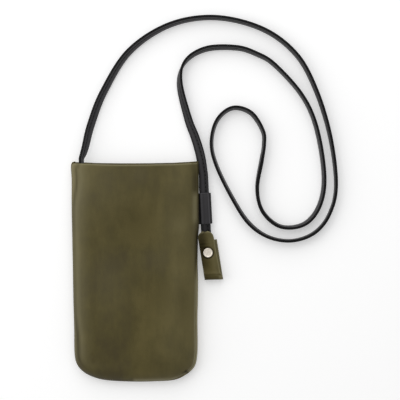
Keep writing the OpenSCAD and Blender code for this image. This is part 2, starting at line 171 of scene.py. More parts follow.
def settle(piece, kind, **settings):
    """Applies one modifier to the piece's mesh."""
    modifier = piece.modifiers.new(kind.title(), kind)
    for key, value in settings.items():
        setattr(modifier, key, value)
    bpy.context.view_layer.update()
    graph = bpy.context.evaluated_depsgraph_get()
    mesh = bpy.data.meshes.new_from_object(piece.evaluated_get(graph))
    piece.modifiers.clear()
    piece.data = mesh
    smooth(mesh)


def mark(piece, *marks):
    """Stores each point's paling by rubbing and painted highlight, and its painted shade and dark marks.
    """
    for layer, values in zip(("wear_and_highlight", "shade_and_marks"), marks):
        attribute = piece.data.attributes.new(layer, "FLOAT", "POINT")
        attribute.data.foreach_set("value", values)


# Materials

# Sizes of what their patterns draw: the dye's clouds, a thread's twist and a woven thread
CLOUD = 38
TWIST = 6
WEAVE = 0.8 * 2 * math.pi


def ink(code):
    """A colour from its sRGB hex code, as linear numbers."""
    channels = [int(code[i : i + 2], 16) / 255 for i in (1, 3, 5)]
    return [c / 12.92 if c <= 0.04045 else ((c + 0.055) / 1.055) ** 2.4 for c in channels] + [1]


def add(tree, kind, output=None, inputs=(), stops=(), **settings):
    """A node whose inputs take values or other nodes' sockets: one output of it, or the node."""
    node = tree.nodes.new("ShaderNode" + kind)
    for key, value in settings.items():
        setattr(node, key, value)
    for key, value in dict(inputs).items():
        if isinstance(value, bpy.types.NodeSocket):
            tree.links.new(value, node.inputs[key])
        else:
            node.inputs[key].default_value = value
    if stops:
        elements = node.color_ramp.elements
        while len(elements) < len(stops):
            elements.new(0.5)
        for element, (position, code) in zip(elements, stops):
            element.position = position
            element.color = ink(code)
    return node.outputs[output] if output else node


def new_material(name):
    """An empty material, its node tree and the object's own coordinates."""
    material = bpy.data.materials.new(name)
    material.use_nodes = True
    tree = material.node_tree
    tree.nodes.clear()
    return material, tree, add(tree, "TexCoord", "Object")


def per_mm(size):
    """A texture scale at which one feature is this many millimetres."""
    return 1 / (size * MM)


def finish_leather(name, tones, worn_and_lit, grain, streak, depth, roughness, shine):
    """Drum dyed leather: cloudy dye, streaks along the hide, and a fine pressed grain."""
    material, tree, place = new_material(name)
    hide = add(tree, "Mapping", "Vector", {"Scale": [per_mm(s) for s in streak], "Vector": place})
    streaks = add(tree, "TexNoise", "Fac", {"Scale": 1, "Detail": 7, "Roughness": 0.66, "Vector": hide})
    look = {"Scale": per_mm(CLOUD), "Detail": 3, "Roughness": 0.5, "Vector": place}
    clouds = add(tree, "TexNoise", "Fac", look)
    half = add(tree, "Math", "Value", {0: streaks, 1: 0.5}, operation="MULTIPLY")
    dye = add(tree, "Math", "Value", {0: clouds, 1: 0.5, 2: half}, operation="MULTIPLY_ADD")
    colour = add(tree, "ValToRGB", "Color", {"Fac": dye}, tones)
    # Paled where rubbing and painted highlights are marked; darkened by painted shade and dark marks
    wear_and_highlight = add(tree, "Attribute", "Fac", attribute_name="wear_and_highlight")
    shade_and_marks = add(tree, "Attribute", "Fac", attribute_name="shade_and_marks")
    rubbed_and_lit = add(tree, "Mix", "Result", {"Factor": wear_and_highlight, "A": colour, "B": ink(worn_and_lit)}, data_type="RGBA")
    shade = [c * 0.35 for c in ink(tones[0][1])[:3]] + [1]
    shaded = add(tree, "Mix", "Result", {"Factor": shade_and_marks, "A": rubbed_and_lit, "B": shade}, data_type="RGBA")
    look = {"Scale": per_mm(grain), "Smoothness": 0.6, "Vector": place}
    pressed = add(tree, "TexVoronoi", "Distance", look, feature="SMOOTH_F1")
    look = {"Scale": per_mm(grain * 3), "Detail": 6, "Roughness": 0.7, "Vector": place}
    pores = add(tree, "TexNoise", "Fac", look)
    relief = add(tree, "Math", "Value", {0: pressed, 1: pores}, operation="ADD")
    bump = add(tree, "Bump", "Normal", {"Strength": 0.35, "Distance": depth * MM, "Height": relief})
    look = {"To Min": roughness - 0.07, "To Max": roughness + 0.09, "Value": pores}
    gloss = add(tree, "MapRange", "Result", look)
    # Painted shade and dark marks also dim the specular reflection
    shaded_reflection = add(tree, "MapRange", "Result", {"To Min": shine, "To Max": shine * 0.15, "Value": shade_and_marks})
    look = {
        "Base Color": shaded, "Roughness": gloss, "Normal": bump, "Specular IOR Level": shaded_reflection,
        "IOR": 1.5, "Sheen Weight": 0.06, "Sheen Roughness": 0.5
    }
    add(tree, "OutputMaterial", inputs={"Surface": add(tree, "BsdfPrincipled", "BSDF", look)})
    return material


def patterned(material, tree, pattern, stops, relief, look):
    """The material, its colour and its (strength, depth) of relief after one pattern."""
    shade = add(tree, "ValToRGB", "Color", {"Fac": pattern}, stops)
    depth = {"Strength": relief[0], "Distance": relief[1] * MM, "Height": pattern}
    look = {"Base Color": shade, "Normal": add(tree, "Bump", "Normal", depth), **look}
    add(tree, "OutputMaterial", inputs={"Surface": add(tree, "BsdfPrincipled", "BSDF", look)})
    return material


def finish_thread(name, colour, dark):
    """Waxed twisted thread: slanting ply lines that catch the light."""
    material, tree, place = new_material(name)
    look = {"Scale": per_mm(TWIST), "Distortion": 0.5, "Vector": place}
    ply = add(tree, "TexWave", "Fac", look, bands_direction="DIAGONAL")
    look = {"Roughness": 0.55, "IOR": 1.5}
    return patterned(material, tree, ply, [(0.2, dark), (0.8, colour)], (0.5, 0.08), look)


def finish_cotton(name, colour, dark):
    """Plain woven cotton lining, with its threads drawn 0.8 mm apart so that they show."""
    material, tree, place = new_material(name)
    look = {"Scale": per_mm(WEAVE), "Distortion": 0.3, "Vector": place}
    warp, weft = [add(tree, "TexWave", "Fac", look, bands_direction=way) for way in "XY"]
    weave = add(tree, "Math", "Value", {0: warp, 1: weft}, operation="MULTIPLY")
    look = {"Roughness": 0.9, "Sheen Weight": 0.2}
    return patterned(material, tree, weave, [(0.1, dark), (0.7, colour)], (0.4, 0.1), look)


def finish_metal(name, colour, dull, roughness, scratch):
    """Plated metal, tumbled to a satin, with faint handling marks."""
    material, tree, place = new_material(name)
    look = {"Scale": per_mm(scratch), "Detail": 5, "Roughness": 0.65, "Vector": place}
    marks = add(tree, "TexNoise", "Fac", look)
    look = {"To Min": roughness - 0.06, "To Max": roughness + 0.12, "Value": marks}
    look = {"Metallic": 1, "Roughness": add(tree, "MapRange", "Result", look)}
    return patterned(material, tree, marks, [(0.3, dull), (0.65, colour)], (0.15, 0.03), look)


# Full grain cowhide, dyed olive: soft low sheen, cloudy tone, paler for rubbing and painted highlights
olive_cowhide = finish_leather(
    "Aniline dyed olive cowhide", [(0.39, "#3C3414"), (0.5, "#48401A"), (0.61, "#554C25")], "#857E5D",
    1.1, (20, 46, 30), 0.12, 0.5, 0.25
)
# Flesh side of the same hide where it shows inside the mouth: darker and dull
olive_facing = finish_leather(
    "Olive cowhide facing", [(0.36, "#3A3218"), (0.5, "#463E20"), (0.64, "#524A28")], "#5F5838", 1.1,
    (16, 60, 30), 0.12, 0.62, 0.15
)
# Black calf: near black, with a satin sheen on its faces
black_calf = finish_leather(
    "Black calf strap leather", [(0.34, "#141314"), (0.5, "#1B1A1B"), (0.66, "#232223")], "#454347",
    0.9, (6, 6, 6), 0.08, 0.42, 0.22
)
olive_thread = finish_thread("Waxed olive thread", "#4A4429", "#2A2615")
black_thread = finish_thread("Waxed black thread", "#151416", "#0A090B")
lining_cotton = finish_cotton("Charcoal olive cotton lining", "#4A463A", "#2A281F")
# Pale nickel, tumbled: a warm off white that keeps only a soft gleam
cap_nickel = finish_metal("Tumbled pale nickel", "#CFC8BC", "#B4ACA1", 0.38, 1.4)
stud_nickel = finish_metal("Plated nickel", "#C4BEB4", "#A39C92", 0.3, 1.2)
spring_steel = finish_metal("Bright spring wire", "#A8A5A0", "#86827C", 0.25, 0.8)


# Camera and cords

# A stitch from end to end: place along it, then shares of its width and height
STITCH = [(-1, 0.35, 0), (-0.75, 0.9, 0.55), (-0.2, 1, 1), (0.2, 1, 1), (0.75, 0.9, 0.55), (1, 0.35, 0)]
# Length, width and height of the stitches in each kind of sewing
STRAP_STITCH = (2.5, 0.55, 0.22)
SEAM_STITCH = (2.4, 0.5, 0.3)
BAG_STITCH = (3, 0.5, 0.3)
ANCHOR_STITCH = (3, 0.55, 0.35)
STITCH_STEP = 3.4
STITCH_SINK = 0.16


def on_curve(p0, p1, p2, p3, t):
    """Point between p1 and p2 on the smooth curve through four knots."""
    point = []
    for a, b, c, d in zip(p0, p1, p2, p3):
        square, cube = 2 * a - 5 * b + 4 * c - d, 3 * b - a - 3 * c + d
        point.append((2 * b + (c - a) * t + square * t * t + cube * t * t * t) / 2)
    return point


def beyond(a, b):
    """The knot as far before a as b is after it."""
    return [2 * p - q for p, q in zip(a, b)]


def through(knots, steps):
    """Points along the smooth curve through all of the knots."""
    ends = [beyond(knots[0], knots[1])] + list(knots) + [beyond(knots[-1], knots[-2])]
    line = []
    for i in range(len(knots) - 1):
        line += [on_curve(*ends[i : i + 4], k / steps) for k in range(steps)]
    return line + [list(knots[-1])]


def headings(line):
    """Level unit direction at each point of a line."""
    ways = []
    for i in range(len(line)):
        a, b = line[max(i - 1, 0)], line[min(i + 1, len(line) - 1)]
        ways.append(Vector((b[0] - a[0], b[1] - a[1], 0)).normalized())
    return ways


def strap_axes(heading, lean):
    """The strap's width and thickness directions at a lean."""
    side = Vector((heading.y, -heading.x, 0))
    c, s = math.cos(math.radians(lean)), math.sin(math.radians(lean))
    return c * UP + s * side, c * side - s * UP


def strap_section():
    """A folded strip with a sewn groove: across the width, then across the thickness."""
    w, t = STRAP_W / 2, STRAP_T / 2
    edge = [
        (w - 0.42, 0.04), (w - 0.1, 0.18), (w, 0.48), (w - 0.05, 0.78), (w - 0.25, t - 0.16),
        (w - 0.6, t - 0.03), (w - 1.1, t)
    ]
    groove = ((0.8, 0), (0.45, 0.08), (0.2, 0.2), (0, 0.24), (-0.2, 0.2), (-0.45, 0.08), (-0.9, 0))
    seam = [(SEAM_AT + a, t - b) for a, b in groove]
    top = edge + seam + [(-1.2, t + 0.04)] + [(-a, b) for a, b in reversed(edge)]
    return top + [(a, -b) for a, b in reversed(top)]


def strap_wear_and_highlight(section):
    """Paling of the section's points: both bands beside the seam, for rubbing and as painted highlight."""
    wide = [ease(-3.7, -2.7, a) * ease(1.3, 0.6, a) for a, b in section]
    narrow = [ease(1.8, 2.3, a) * ease(3.7, 3.2, a) for a, b in section]
    return [0.4 * (m + n) for m, n in zip(wide, narrow)]


def strap_shade(section, low):
    """Shade of the section's points: in the seam's groove and along the edges."""
    edges = [0.8 * bell(abs(a), STRAP_W / 2, 0.45) for a, b in section]
    groove = [bell(a, SEAM_AT, 0.75) for a, b in section]
    lower = [low * ease(-0.8, -4.2, a) for a, b in section]
    return [max(marks) for marks in zip(edges, groove, lower)]


def counted_from(start, faces):
    """Faces whose points come after this many others."""
    return [tuple(start + k for k in face) for face in faces]


def loft(rings, closed=True):
    """Faces between rings of equal count, with caps if closed."""
    n = len(rings[0])
    faces = []
    for i in range(len(rings) - 1):
        for j in range(n):
            k = (j + 1) % n
            faces.append((i * n + j, (i + 1) * n + j, (i + 1) * n + k, i * n + k))
    if closed:
        faces.append(tuple(range(n)))
        faces.append(tuple((len(rings) - 1) * n + j for j in reversed(range(n))))
    return faces


def stitch_mesh(places, size):
    """Sewn stitches at (point, along, out) places: points and faces of one mesh."""
    length, width, height = size
    points, faces = [], []
    for point, along, out in places:
        across = along.cross(out)
        foot = out * height * 0.6
        rings = []
        for run, wide, high in STITCH:
            middle = point + along * (run * length / 2)
            rise = out * (height * high)
            half = across * (width / 2 * wide)
            flanks = middle - half * 0.8 + rise * 0.6, middle + half * 0.8 + rise * 0.6
            rings.append([middle - half - foot, flanks[0], middle + rise, flanks[1], middle + half - foot])
        faces += counted_from(len(points), loft(rings))
        points += [p for ring in rings for p in ring]
    return points, faces


def even_places(line, spacing, first):
    """(index, share) at even distances along a line of points."""
    places, gone, wanted = [], 0, first
    for i in range(len(line) - 1):
        step = (Vector(line[i + 1][:3]) - Vector(line[i][:3])).length
        while gone + step >= wanted:
            places.append((i, (wanted - gone) / step))
            wanted += spacing
        gone += step
    return places


def make_strap(name, line, low_shade):
    """A sewn length of strap along (x, y, z, lean, thickness, paling, widening into shade) rows."""
    section = strap_section()
    ways = headings(line)
    rings, wear_and_highlight, places = [], [], []
    for (x, y, z, lean, share, rub_and_light, widened_into_shade), way in zip(line, ways):
        wide, thick = strap_axes(way, lean)
        middle = Vector((x, y, z))
        # One edge is widened where shade lies beside it, so that black leather stands in for that shade
        rings.append(
            [middle + wide * (a - widened_into_shade * ease(-1, -3, a)) + thick * (b * share) for a, b in section]
        )
        # Paling for rubbing and painted highlight, scaled for each row
        wear_and_highlight += [rub_and_light * w for w in strap_wear_and_highlight(section)]
    for i, t in even_places(line, STITCH_STEP, 2):
        x, y, z, lean, share = [mix(a, b, t) for a, b in zip(line[i][:5], line[i + 1])]
        way = ways[i].lerp(ways[i + 1], t).normalized()
        wide, thick = strap_axes(way, lean)
        for face in (-1, 1):
            depth = (STRAP_T / 2 - STITCH_SINK) * share * face
            point = Vector((x, y, z)) + thick * depth + wide * SEAM_AT
            places.append((point, way, thick * face))
    points, faces = [p for ring in rings for p in ring], loft(rings)
    sewn, sewn_faces = stitch_mesh(places, STRAP_STITCH)
    slots = [0] * len(faces) + [1] * len(sewn_faces)
    faces += counted_from(len(points), sewn_faces)
    piece = make_piece(name, points + sewn, faces, [black_calf, black_thread], slots)
    face_outwards(piece)
    unmarked = [0] * len(sewn)
    mark(piece, wear_and_highlight + unmarked, strap_shade(section, low_shade) * len(rings) + unmarked)
    return piece, [[v * MM for v in row[:3]] for row in line]


look_down()

# The run from inside the mouth, round its two curves and back to the top of the last one
ROOT_LEAN = -15
inside = [
    (ROOT_X, mix(ROOT_LOW, ROOT_TOP, k / 12), ROOT_Z, ROOT_LEAN * ease(5, 12, k)) for k in range(12)
]
tail_start = (*at(LOOP_FRAME, TAIL_SHIFT, TAIL_TOP, TAIL_Z), -90)
free_run = through([(ROOT_X, ROOT_TOP, ROOT_Z, ROOT_LEAN)] + RUN + [tail_start], RINGS_PER_SPAN)
split = (LEAD_KNOT + 1) * RINGS_PER_SPAN
run_line = []
for n, place in enumerate(inside + free_run[: split + 1]):
    gone = (n - len(inside)) / RINGS_PER_SPAN
    # Where the run turns its other face up, its two plies stand a little apart
    share = 1 + 0.3 * ease(24.2, 25.4, gone) * ease(28.6, 27.2, gone)
    # The run inside the mouth and up to its third knot is paled the most, for rubbing and painted
    # highlight
    run_line.append((*place, share, mix(1.3, 0.55, ease(3, 6.5, gone)), 0))
strap_run, run_path = make_strap("strap_run", run_line, 0.1)

# The lead that moves with the strap's end: down through the loop and into the tab
lead_line = [(*place, 1, 0.8, 0) for place in free_run[split:-1]]
# Below the loop the lead's paling fades out, leaving it darker as painted shade
for v in (29, 26, 22, 18, 14, 10, 5, 0, -5, -10, -14, -18, -21):
    place = at(LOOP_FRAME, TAIL_SHIFT, v, TAIL_Z)
    # Its left edge is widened into the shade beside it, from above the loop down into the tab
    shade_widening = 0.25 * ease(26, 18, v) + 0.2 * bell(v, 18, 4) + 0.3 * ease(-5, -12, v)
    lead_line.append((*place, -90, 1, 0.8 * ease(-15, -9, v), shade_widening))
tongue = [(-5, 4, 0.9), (-7, 3.7, 0.66)] + [(v, TONGUE_Z, 0.5) for v in (-9, -16, -24.5)]
for v, z, share in tongue:
    lead_line.append((*at(TAB_FRAME, TAIL_SHIFT, v, z), -90, share, 0, 0.5))
strap_lead, lead_path = make_strap("strap_lead", lead_line, 0.9)

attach(strap_run, "pouch")
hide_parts("strap", "strap_root")
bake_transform(strap_lead)
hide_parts("strap_tail")


# Pouch

# Outer edge of the pouch as it lies, from the mouth's left end round to its right end
SILHOUETTE = [
    (-53.5, 95.1), (-54.7, 93.3), (-55.1, 89.4), (-54.4, 80), (-54.4, 55), (-54, 35.1), (-53.4, 5.1),
    (-52.9, -24.8), (-52.2, -49.8), (-52.1, -65.7), (-51.4, -75.7), (-49.3, -81.7), (-45, -86.7),
    (-39.7, -90.1), (-33.5, -92.6), (-27.1, -94.2), (-14.8, -95.4), (5.1, -95.9), (22.1, -95.4),
    (31.1, -94.9), (38, -93.3), (42.8, -91), (46.7, -88.4), (50, -85.5), (53, -81.2), (54.3, -74.2),
    (54.8, -64.7), (54.6, -41.8), (55, -24.8), (55.1, -7.8), (54.65, 8.1), (54.95, 22.1), (55.15, 29.5),
    (55.95, 38.1), (55.85, 46), (55.75, 60), (55.65, 80), (55.4, 94.9)
]
LEFT_CORNER = (-45, -86.7)
RIGHT_CORNER = (46.7, -88.4)
SIDE_STEPS = 62
BOTTOM_STEPS = 36
LAST_STEP = SIDE_STEPS + BOTTOM_STEPS
RIM = SIDE_STEPS + LAST_STEP + 1
INNER_X = 33
INNER_LOW = -73.5
# The mouth's edge at even steps across the pouch: the front's and the back's
FRONT_MOUTH = [93.2, 92.7, 92.1, 91.8, 91.7, 91.7, 91.75, 92, 92.2, 92.8, 93.6]
BACK_MOUTH = [94.5, 94, 93.5, 93.35, 93.25, 93.25, 93.3, 93.5, 93.7, 94.3, 95.2]
MOUTH_HALF = 55
MOUTH_FITTED_FROM = 60

EDGE_Z = 5.2
PLATEAU = 14.6
EDGE_RUN = 15
# Where the round edge meets the front's fullness, as insets from the outer edge
EDGE_LAST = 13.6
EDGE_FULL = 17.5
UNDER_RUN = 8
LEATHER_T = 1.3
# The seam allowance turned inside: how deep it goes, and how far from its seam
ALLOWANCES = ((2.6, 0.1), (1.1, 0.05))


def mouth(table, x):
    """Height of a mouth edge at x, smoothly between the table's steps."""
    share = min(max((x + MOUTH_HALF) / (2 * MOUTH_HALF), 0), 1) * (len(table) - 1)
    i = min(int(share), len(table) - 2)
    return mix(table[i], table[i + 1], ease(0, 1, share - i))


def side_share(step):
    """Share of the way down a side: two short steps at the mouth, then even ones."""
    return (0, 0.0035, 0.01)[step] if step < 3 else (step - 2) / (SIDE_STEPS - 2)


def resample(line, shares):
    """Points at these shares of the way along a line of (x, y) points."""
    lengths = [0]
    for a, b in zip(line, line[1:]):
        lengths.append(lengths[-1] + math.dist(a, b))
    points, i = [], 0
    for share in shares:
        wanted = lengths[-1] * share
        while i < len(line) - 2 and lengths[i + 1] < wanted:
            i += 1
        t = min((wanted - lengths[i]) / (lengths[i + 1] - lengths[i]), 1)
        points.append(tuple(mix(a, b, t) for a, b in zip(line[i][:2], line[i + 1])))
    return points


def nearest(line, point):
    return min(range(len(line)), key=lambda i: math.dist(line[i], point))


def ring_points(outline, *corners):
    """The rim's points: down the left, along the bottom and up the right."""
    dense = through(outline, 12)
    left, right = [nearest(dense, corner) for corner in corners]
    down = [side_share(k) for k in range(SIDE_STEPS + 1)]
    along = [k / BOTTOM_STEPS for k in range(1, BOTTOM_STEPS + 1)]
    up = [1 - share for share in reversed(down)]
    low = resample(dense[left : right + 1], along)
    return resample(dense[: left + 1], down) + low + resample(dense[right:], up)[1:]


def inner_points(inner_x, inner_low, top):
    """Grid inside the rim, one row for each step down the sides."""
    columns = [mix(-inner_x, inner_x, c / BOTTOM_STEPS) for c in range(BOTTOM_STEPS + 1)]
    shares = [side_share(j) for j in range(SIDE_STEPS + 1)]
    return [[(x, mix(top(x), inner_low, share)) for x in columns] for share in shares]


def inner_place(i):
    """(row, column) of the grid point that rim point i leads to."""
    if i <= SIDE_STEPS:
        return i, 0
    if i <= LAST_STEP:
        return SIDE_STEPS, i - SIDE_STEPS
    return SIDE_STEPS + LAST_STEP - i, BOTTOM_STEPS


def grid_faces(rows, columns, base=0):
    """Faces of a grid with this many of them down and across."""
    wide = columns + 1
    corners = [base + r * wide + c for r in range(rows) for c in range(columns)]
    return [(a, a + wide, a + wide + 1, a + 1) for a in corners]


def inwards_from(rim, grid, i):
    """Level direction from rim point i towards the grid."""
    j, c = inner_place(i)
    return (Vector(grid[j][c]) - Vector(rim[i])).normalized()


def sheet_mesh(rim, grid, edge_rows, grid_z, outwards):
    """A U-shaped rim of (inset, height) rows round a grid, as points and faces."""
    ways = [inwards_from(rim, grid, i) for i in range(RIM)]
    columns = [edge_rows(i, rim[i], ways[i]) for i in range(RIM)]
    depth = len(columns[0])
    points = []
    for k in range(depth):
        for column, place, way in zip(columns, rim, ways):
            inset, z = column[k]
            points.append((*(Vector(place) + way * inset), z))
    base = depth * RIM
    for row in grid:
        points += [(x, y, grid_z(x, y)) for x, y in row]

    def index(k, i):
        j, c = inner_place(i)
        return k * RIM + i if k < depth else base + j * (BOTTOM_STEPS + 1) + c

    faces = []
    for k in range(depth):
        for i in range(RIM - 1):
            faces.append((index(k, i), index(k, i + 1), index(k + 1, i + 1), index(k + 1, i)))
    faces += grid_faces(SIDE_STEPS, BOTTOM_STEPS, base)
    return points, faces if outwards else turned_over(faces)


def undulation(x, y):
    """Slow hollows and swells of leather in daily use."""
    slow = noise.noise(Vector((x / 34 + 7, y / 52, 0.3)))
    quick = noise.noise(Vector((x / 13, y / 24 + 5, 2.1)))
    return 0.9 * slow + 0.28 * quick


def plateau(x, y):
    """Height of the front where it is full, and how it sinks at the mouth."""
    held = 1 - 0.9 * bell(x, -46, 13) - 0.3 * bell(x, 50, 12)
    sink = 2.2 * ease(50, 95, y) * held
    hollow = 0.6 * (0.4 + 0.6 * ease(40, 8, abs(x)))
    return PLATEAU - sink - hollow + undulation(x, y)


def seam_depth(y):
    """How deep the seam is drawn in."""
    return 0.5 + 0.08 * math.sin(y / 9)


def side_hollow(x, y, inset):
    """Depth of the valley down the left side, and of the fold beside the loop."""
    if x < 0:
        return 0.6 * bell(inset, 3.3, 1.6) * ease(-90, -76, y)
    return 1.1 * bell(inset, 3.4, 1.9) * ease(54, 68, y)


def edge_arc(x, y, angle):
    """(inset, height) on the round front edge at an angle from its outermost line."""
    rise = plateau(x, y) - EDGE_Z
    return EDGE_RUN * (1 - math.cos(angle)), EDGE_Z + rise * math.sin(angle)


def edge_speed(x, y, angle):
    """Length along the round edge for each radian of its angle."""
    rise = plateau(x, y) - EDGE_Z
    return math.hypot(EDGE_RUN * math.sin(angle), rise * math.cos(angle))


def edge_normal(x, y, angle):
    """(inset, height) direction that points into the pouch there."""
    rise = plateau(x, y) - EDGE_Z
    return Vector((math.cos(angle) / EDGE_RUN, -math.sin(angle) / rise)).normalized()


def pucker(i, x, y, inset):
    """Small folds that the seam's stitches pull into the leather beside them."""
    run = i if i > SIDE_STEPS else -y / 3
    wave = math.sin(run * 1.9 + 1.2 * math.sin(run * 0.37))
    wave *= noise.noise(Vector((x / 9, y / 11, 4)))
    return 0.3 * wave * bell(inset, 4, 4)


def seam_angle(i, y):
    """Angle of the seam on the round edge: near its outermost line, but inwards at the lower right."""
    inset = 0.3 + 1.5 * ease(LAST_STEP - 8, LAST_STEP, i)
    if i > LAST_STEP:
        inset = mix(1.8, 0.1, ease(-4, 16, y))
    return math.acos(1 - inset / EDGE_RUN)


def seam_point(x, y, angle, along):
    """A point of the front edge, drawn in where it is near the seam."""
    place = Vector(edge_arc(x, y, angle))
    draw = seam_depth(y) * bell(along, 0, 0.8) + 0.7 * side_hollow(x, y, place.x)
    return tuple(place + edge_normal(x, y, angle) * draw)


def seam_foot(i, x, y, deeper, apart):
    """A point of the seam allowance, which runs from the seam into the pouch."""
    angle = seam_angle(i, y)
    place = Vector(edge_arc(x, y, angle))
    inwards = edge_normal(x, y, angle)
    along = Vector((-inwards.y, inwards.x)) * apart
    return tuple(place + inwards * (seam_depth(y) + deeper) + along)


def front_edge(i, place, way):
    """The front's round edge at rim point i, from its seam allowance to its fullness."""
    x, y = place
    first = angle = seam_angle(i, y)
    column = [seam_foot(i, x, y, deep, gap) for deep, gap in ALLOWANCES]
    for along in (0.06, 0.25, 0.5, 0.85, 1.3, 1.9, 2.6):
        angle = first + along / edge_speed(x, y, first)
        column.append(seam_point(x, y, angle, along))
    last = math.acos(1 - EDGE_LAST / EDGE_RUN)
    for k in range(1, 7):
        inset, z = edge_arc(x, y, mix(angle, last, k / 6))
        column.append((inset, z + pucker(i, x, y, inset) - side_hollow(x, y, inset)))
    return column + [(EDGE_FULL, plateau(x, y))]


def back_edge(i, place, way):
    """The back's edge at rim point i, from its seam allowance to its underside."""
    x, y = place
    first = seam_angle(i, y)
    column = [seam_foot(i, x, y, deep, -gap) for deep, gap in ALLOWANCES]
    for share in (0.02, 0.07, 0.14, 0.24, 0.38, 0.56, 0.78):
        angle = first * (1 - share)
        column.append(seam_point(x, y, angle, edge_speed(x, y, angle) * first * share))
    for k in range(7):
        angle = math.pi / 2 * k / 6
        column.append((UNDER_RUN * (1 - math.cos(angle)), EDGE_Z * (1 - math.sin(angle))))
    return column + [(12, 0), (17, 0)]


def fit_mouth(rim, table):
    """The rim with its two ends moved to a panel's mouth edge."""
    start = MOUTH_FITTED_FROM
    reach = rim[0][1] - start
    return [(x, y if y < start else mix(start, mouth(table, x), (y - start) / reach)) for x, y in rim]


def leather_sheet(name, mesh, thickness, material, node, fine=1, marks=()):
    """Leather of one thickness whose outer face is the mesh."""
    piece = make_piece(name, *mesh, [material])
    mark(piece, *marks)
    settle(piece, "SOLIDIFY", thickness=thickness * MM, offset=-1, use_even_offset=True)
    levels = fine
    settle(piece, "SUBSURF", levels=levels, render_levels=levels)
    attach(piece, "pouch")
    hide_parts(node)


# Share of the palest colour, for rubbing and painted highlight, that the leather reaches, except on its
# ridges
PALEST_SHARE = 0.77
# Paler and darker patches: strength, then middle and width along x and y. Paler ones, then darker
PALER = [(0.16, -24, 16, -8, 26), (0.14, 5, 10, 85, 10), (0.1, 16, 16, 10, 12), (0.12, 38, 10, 40, 8)]
DARKER = [
    (0.3, -2, 19, 46, 16), (0.25, 26, 13, -79, 8), (0.18, 24, 18, -20, 14), (0.19, 40, 8, 61, 10),
    (0.13, 39, 7, 12, 8), (0.1, 44, 8, -28, 12), (0.1, 2, 12, 26, 8), (0.09, 7, 6, -76, 14)
]
# The dark nick at the lower right corner
NICK = [(1.69, 45.6, 1.9, -86.9, 1.3), (0.65, 43.4, 1.2, -86.8, 1.2)]


def patches(table, x, y):
    return sum(a * bell(x, u, wide) * bell(y, v, high) for a, u, wide, v, high in table)


def front_marks(points, rim):
    """Rubbing and painted highlight on ridges and edges; painted shade in seams, folds and by the tab."""
    dense = through(rim, 4)
    wear_and_highlight, shade_and_marks = [], []
    for n, (x, y, z) in enumerate(points):
        row = n // RIM
        inset = min(math.dist((x, y), p) for p in dense) if abs(x) > 36 or y < -78 else 20
        # A painted highlight along the mouth's edge
        lip = bell(mouth(FRONT_MOUTH, x) - y, 0.2, 0.8)
        left = (x < 0) * ease(-88, -70, y)
        top, low = ease(50, 82, y), ease(-34, -64, y)
        dip = 1.6 + 3.8 * top + 2.8 * low
        fullness = 0.36 - 0.2 * top - 0.14 * low
        # Rubbing at the left rim; painted highlight down the left, upper left, right side and by the loop
        rubbed_and_lit = 0.55 * bell(inset, 0.7, 1.3 + top) + fullness * bell(inset, dip + 3, 2.4)
        rubbed_and_lit = left * (rubbed_and_lit + 0.2 * bell(inset, 9.5, 5.5))
        rubbed_and_lit += 0.3 * ease(20, 95, y) * ease(10, -50, x) + 0.16 * ease(10, 45, x)
        rubbed_and_lit += 0.72 * bell(inset, 3.1, 2.2) * (x > 0) * ease(38, 46, y) * ease(71, 64, y)
        rubbed_and_lit += patches(PALER, x, y)
        # Painted highlight along the lower right rim, and a pale line painted at its corner
        ridge = bell(inset, 1.5, 1.4) * (x > 0) * ease(8, -14, y)
        thread = 0.9 * bell(x, 43.6, 1) * bell(y, -89, 0.9)
        wear_and_highlight.append(max(PALEST_SHARE * min(lip + rubbed_and_lit, 1), ridge, thread))
        # Painted shade in seam, left valley, fold by the loop, right edge, beside the tab and along the
        # bottom
        seam = 0.75 if row < 2 else 0.45 * bell(row, 2, 1.6) * (row < 9) * (x < 40 or y > 8)
        valley = (0.26 + 0.22 * top + 0.28 * low) * left * bell(inset, dip, 1.1)
        fold = 0.5 * bell(x, 53, 2.2) * ease(63, 71, y) * ease(94, 82, y)
        side = 0.7 * bell(inset, 0.3, 0.9) * (x > 0) * ease(-2, 8, y)
        beside_tab = 0.62 * ease(3.3, 1.3, inset) * (x > 0) * ease(-8, 4, y) * ease(50, 38, y)
        base = 0.4 * bell(inset, 0, 2.2) * (y < -80)
        shade = max(seam, valley, fold, side, beside_tab, patches(NICK, x, y), base)
        # Darker patches, and darker towards the lower right
        darker_patches = 0.15 * bell(x, 42, 5) * ease(8, -20, y) + patches(DARKER, x, y)
        shade_and_marks.append(min(shade + darker_patches, 1))
    return wear_and_highlight, shade_and_marks


def back_marks(points, rim):
    """The rim, with a painted highlight at the lower right, and its dark nick there."""
    dense = through(rim, 4)
    wear_and_highlight, shade_and_marks = [], []
    for x, y, z in points:
        inset = min(math.dist((x, y), p) for p in dense) if x > 36 and y < 20 else 20
        # Painted highlight along the lower right rim
        wear_and_highlight.append(bell(inset, 0.8, 1.6) * ease(12, -10, y) * ease(-92, -86, y))
        shade_and_marks.append(bell(x, 46.4, 1.5) * bell(y, -87.8, 1.3))
    return wear_and_highlight, shade_and_marks


def make_panel(name, node, table, edge_rows, height, marks):
    """One outer panel of the pouch: its rim and the grid inside it."""
    rim = fit_mouth(silhouette, table)
    grid = inner_points(INNER_X, INNER_LOW, lambda x: mouth(table, x))
    mesh = sheet_mesh(rim, grid, edge_rows, height, edge_rows == front_edge)
    painted = marks(mesh[0], rim)
    leather_sheet(name, mesh, LEATHER_T, olive_cowhide, node, marks=painted)
    return rim, grid


silhouette = ring_points(SILHOUETTE, LEFT_CORNER, RIGHT_CORNER)
front_rim, front_grid = make_panel(
    "front_skin", "front_panel", FRONT_MOUTH, front_edge, plateau, front_marks
)
make_panel("back_skin", "back_panel", BACK_MOUTH, back_edge, lambda x, y: 0, back_marks)


# Inner bag

